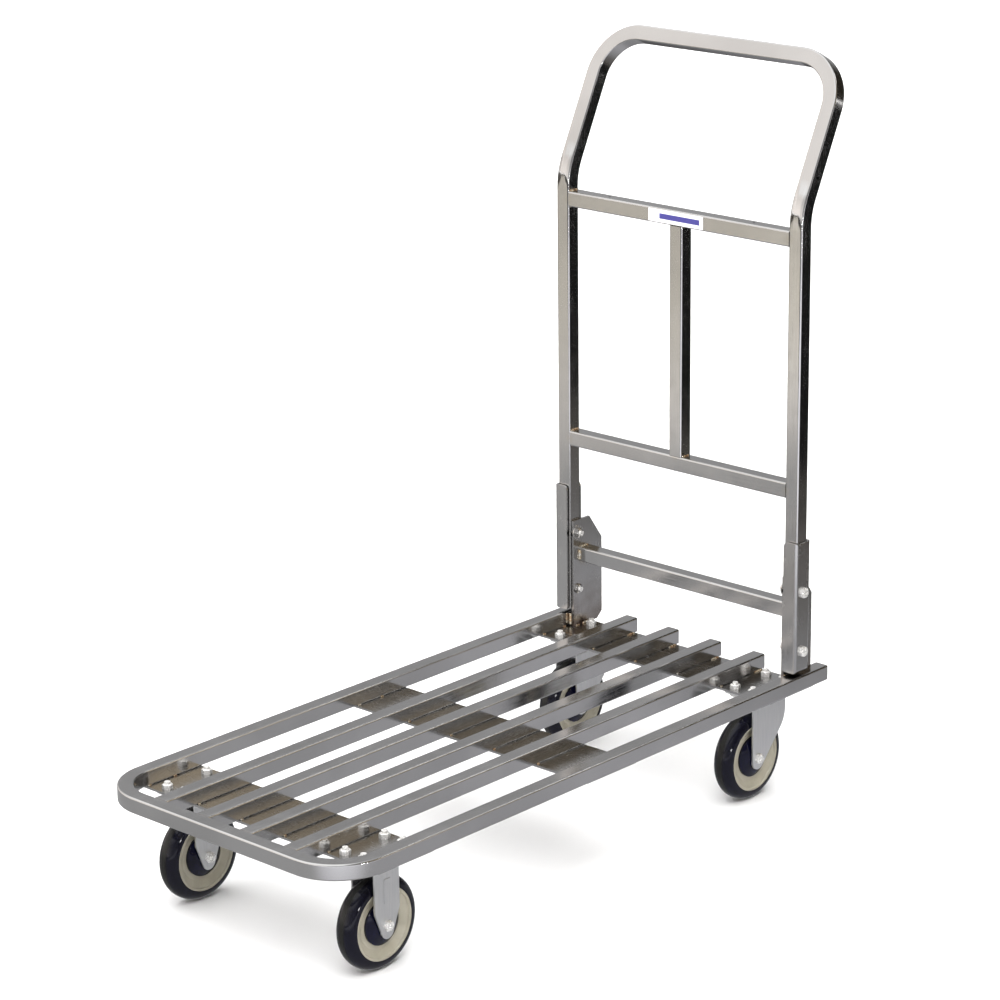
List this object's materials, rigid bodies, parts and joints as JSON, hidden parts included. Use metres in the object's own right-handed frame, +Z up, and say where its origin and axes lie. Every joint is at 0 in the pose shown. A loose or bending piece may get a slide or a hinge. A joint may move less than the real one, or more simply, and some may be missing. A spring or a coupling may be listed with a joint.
{
  "type": "luggage cart",
  "caption": "Platform cart for luggage: a slatted square-tube deck on rigid front and swivel rear casters, with a tall leaning loop handle that folds forward over the deck.",
  "frame": {"origin": "on the floor, under the middle of the whole cart's length and width", "axes": "+X along the deck towards the handle, +Z up, +Y to the right of the person pushing, who stands behind the handle and looks along -X"},
  "size_m": [1.0272, 0.4592, 1.0508],
  "materials": {
    "square_tube": "satin",
    "flat_strip": "satin",
    "bracket_steel": "satin",
    "zinc_sheet": "bright zinc plate",
    "bright_steel": "bright",
    "tyre_rubber": "satin",
    "core_plastic": "satin",
    "guard_plastic": "gloss",
    "bush_plastic": "matte",
    "label_film": "satin"
  },
  "bodies": {
    "deck": {"rim_tube": "square_tube", "deck_slat_1": "square_tube", "deck_slat_2": "square_tube", "deck_slat_3": "square_tube", "deck_slat_4": "square_tube", "cross_strip_front": "flat_strip", "cross_strip_middle": "flat_strip", "cross_strip_rear": "flat_strip", "pivot_plate_left": "bracket_steel", "pivot_plate_right": "bracket_steel", "plate_crossbar": "square_tube", "rigid_fork_left": "zinc_sheet", "rigid_fork_right": "zinc_sheet", "swivel_plate_left": "zinc_sheet", "swivel_plate_right": "zinc_sheet", "swivel_pin_left": "bright_steel", "swivel_pin_right": "bright_steel", "swivel_balls_left": "bright_steel", "swivel_balls_right": "bright_steel", "caster_bolts": "bright_steel", "caster_nuts": "bright_steel", "front_axle_bolts": "bright_steel", "front_axle_nuts": "bright_steel", "front_axle_sleeves": "bright_steel"},
    "handle": {"handle_loop": "square_tube", "upper_rung": "square_tube", "lower_rung": "square_tube", "centre_spindle": "square_tube", "leg_channel_left": "bracket_steel", "leg_channel_right": "bracket_steel", "pivot_bolts": "bright_steel", "lock_bolts": "bright_steel", "lock_washers": "bright_steel", "bracket_nuts": "bright_steel", "blank_label": "label_film"},
    "swivel_left": {"swivel_fork_left": "zinc_sheet", "rear_axle_bolt_left": "bright_steel", "rear_axle_nut_left": "bright_steel", "rear_axle_sleeve_left": "bright_steel"},
    "swivel_right": {"swivel_fork_right": "zinc_sheet", "rear_axle_bolt_right": "bright_steel", "rear_axle_nut_right": "bright_steel", "rear_axle_sleeve_right": "bright_steel"},
    "wheel_front_left": {"tyre_front_left": "tyre_rubber", "wheel_core_front_left": "core_plastic", "thread_guards_front_left": "guard_plastic", "wheel_bush_front_left": "bush_plastic"},
    "wheel_front_right": {"tyre_front_right": "tyre_rubber", "wheel_core_front_right": "core_plastic", "thread_guards_front_right": "guard_plastic", "wheel_bush_front_right": "bush_plastic"},
    "wheel_rear_left": {"tyre_rear_left": "tyre_rubber", "wheel_core_rear_left": "core_plastic", "thread_guards_rear_left": "guard_plastic", "wheel_bush_rear_left": "bush_plastic"},
    "wheel_rear_right": {"tyre_rear_right": "tyre_rubber", "wheel_core_rear_right": "core_plastic", "thread_guards_rear_right": "guard_plastic", "wheel_bush_rear_right": "bush_plastic"}
  },
  "joints": [
    {"name": "handle_fold", "type": "hinge", "parent": "deck", "child": "handle", "pos_m": [0.4065, 0, 0.22], "axis": [0, -1, 0], "range_deg": [0, 92]},
    {"name": "caster_swivel_left", "type": "hinge", "parent": "deck", "child": "swivel_left", "pos_m": [0.3864, -0.165, 0.147], "axis": [0, 0, 1], "continuous": true},
    {"name": "caster_swivel_right", "type": "hinge", "parent": "deck", "child": "swivel_right", "pos_m": [0.3864, 0.165, 0.147], "axis": [0, 0, 1], "continuous": true},
    {"name": "wheel_spin_front_left", "type": "hinge", "parent": "deck", "child": "wheel_front_left", "pos_m": [-0.3896, -0.165, 0.0635], "axis": [0, 1, 0], "continuous": true},
    {"name": "wheel_spin_front_right", "type": "hinge", "parent": "deck", "child": "wheel_front_right", "pos_m": [-0.3896, 0.165, 0.0635], "axis": [0, 1, 0], "continuous": true},
    {"name": "wheel_spin_rear_left", "type": "hinge", "parent": "swivel_left", "child": "wheel_rear_left", "pos_m": [0.3589, -0.165, 0.0635], "axis": [0, 1, 0], "continuous": true},
    {"name": "wheel_spin_rear_right", "type": "hinge", "parent": "swivel_right", "child": "wheel_rear_right", "pos_m": [0.3589, 0.165, 0.0635], "axis": [0, 1, 0], "continuous": true}
  ]
}
